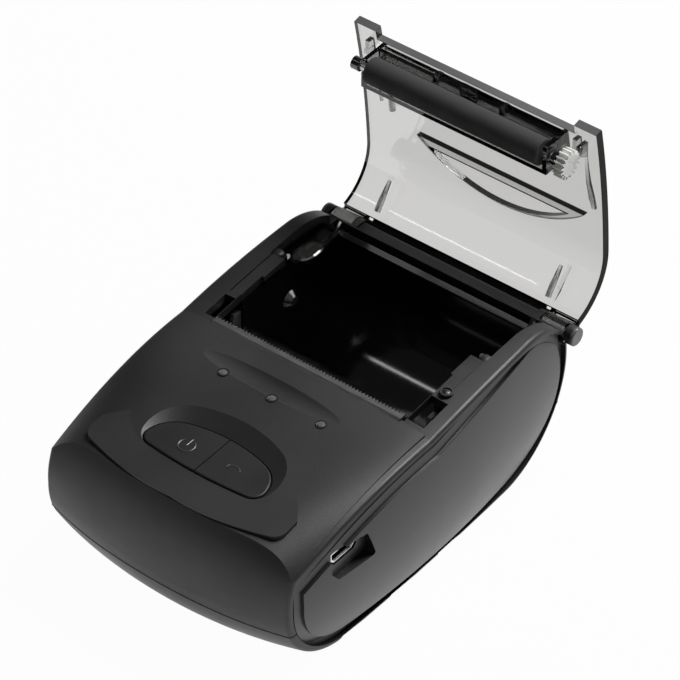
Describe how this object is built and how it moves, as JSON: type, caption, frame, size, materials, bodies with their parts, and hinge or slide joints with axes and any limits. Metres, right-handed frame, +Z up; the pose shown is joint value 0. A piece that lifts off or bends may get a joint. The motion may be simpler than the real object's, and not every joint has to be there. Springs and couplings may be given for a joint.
{
  "type": "portable thermal printer",
  "caption": "Pocket thermal receipt printer with a rounded black casing, two buttons, a side data port and a clear hinged paper cover standing open.",
  "frame": {"origin": "on the rest plane, under the middle of the control panel's rear edge", "axes": "+X to the printer's right side, where the data port is; +Y to the rear, where the cover is hinged; +Z up"},
  "size_m": [0.084, 0.1309, 0.09],
  "materials": {
    "black_casing": "fine matte moulded black",
    "side_black": "satin black",
    "bay_black": "polished moulded black",
    "button_black": "matte black",
    "black_metal": "blackened steel",
    "bright_metal": "bright plated",
    "steel_sheet": "plain sheet steel",
    "brass_leaf": "plain",
    "battery_wrap": "shrink wrap",
    "board_green": "solder mask",
    "lens_white": "milky clear",
    "head_ceramic": "glazed ceramic",
    "head_alloy": "plain",
    "cable_amber": "flat film cable",
    "grey_pin": "grey moulded",
    "smoke_clear": "smoke-tinted clear plastic",
    "roller_rubber": "ground black rubber",
    "white_gear": "white acetal"
  },
  "bodies": {
    "casing": {"top_shell": "black_casing", "bottom_shell": "black_casing", "side_panel_left": "side_black", "side_panel_right": "side_black", "tear_bar": "black_metal", "latch_strip_left": "black_casing", "latch_strip_right": "black_casing", "paper_cradle": "bay_black", "roll_supports": "bright_metal", "battery_door": "black_casing", "battery_pack": "battery_wrap", "contact_block": "bay_black", "battery_contacts": "brass_leaf", "main_board": "board_green", "usb_socket": "bright_metal", "switch_housings": "bay_black", "status_leds": "lens_white", "light_pipes": "lens_white", "radio_module": "bright_metal", "buzzer": "bay_black", "print_frame": "steel_sheet", "print_head": "head_ceramic", "head_heatsink": "head_alloy", "head_springs": "steel_sheet", "head_cable": "cable_amber", "paper_sensor": "bay_black", "stepper_motor": "steel_sheet", "gear_axles": "steel_sheet", "hinge_pin_left": "grey_pin", "hinge_pin_right": "grey_pin", "case_screws": "steel_sheet", "mechanism_screws": "steel_sheet", "board_screws": "steel_sheet"},
    "cover": {"cover_shell": "smoke_clear", "roller_holder": "smoke_clear", "bush_left": "bay_black", "bush_right": "bay_black"},
    "platen_roller": {"platen_shaft": "steel_sheet", "platen_rubber": "roller_rubber", "platen_gear": "white_gear", "retaining_clip": "black_metal"},
    "power_key": {"power_button": "button_black", "power_plunger": "bay_black"},
    "feed_key": {"feed_button": "button_black", "feed_plunger": "bay_black"},
    "drive_wheel": {"drive_gear": "white_gear"},
    "reduction_wheel": {"reduction_gear": "white_gear"},
    "motor_rotor": {"motor_shaft": "steel_sheet", "motor_pinion": "brass_leaf"}
  },
  "joints": [
    {"name": "cover_hinge", "type": "hinge", "parent": "casing", "child": "cover", "pos_m": [0, 0.0574, 0.0335], "axis": [1, 0, 0], "range_deg": [0, 90.5]},
    {"name": "platen_spin", "type": "hinge", "parent": "cover", "child": "platen_roller", "pos_m": [0, 0.0587, 0.0837], "axis": [1, 0, 0], "continuous": true},
    {"name": "power_press", "type": "slide", "parent": "casing", "child": "power_key", "axis": [0, 0, -1], "range_m": [0, 0.0005], "stiffness_N_per_m": 1500},
    {"name": "feed_press", "type": "slide", "parent": "casing", "child": "feed_key", "axis": [0, 0, -1], "range_m": [0, 0.0005], "stiffness_N_per_m": 1500},
    {"name": "drive_spin", "type": "hinge", "parent": "casing", "child": "drive_wheel", "pos_m": [0, 0.00819, 0.02532], "axis": [1, 0, 0], "continuous": true},
    {"name": "reduction_spin", "type": "hinge", "parent": "casing", "child": "reduction_wheel", "pos_m": [0, 0.00271, 0.02049], "axis": [1, 0, 0], "continuous": true},
    {"name": "motor_spin", "type": "hinge", "parent": "casing", "child": "motor_rotor", "pos_m": [0, 0.00299, 0.012], "axis": [1, 0, 0], "continuous": true}
  ],
  "couplings": [
    {"joint": "reduction_spin", "follows": "drive_spin", "ratio": -2},
    {"joint": "motor_spin", "follows": "drive_spin", "ratio": 6.4}
  ]
}
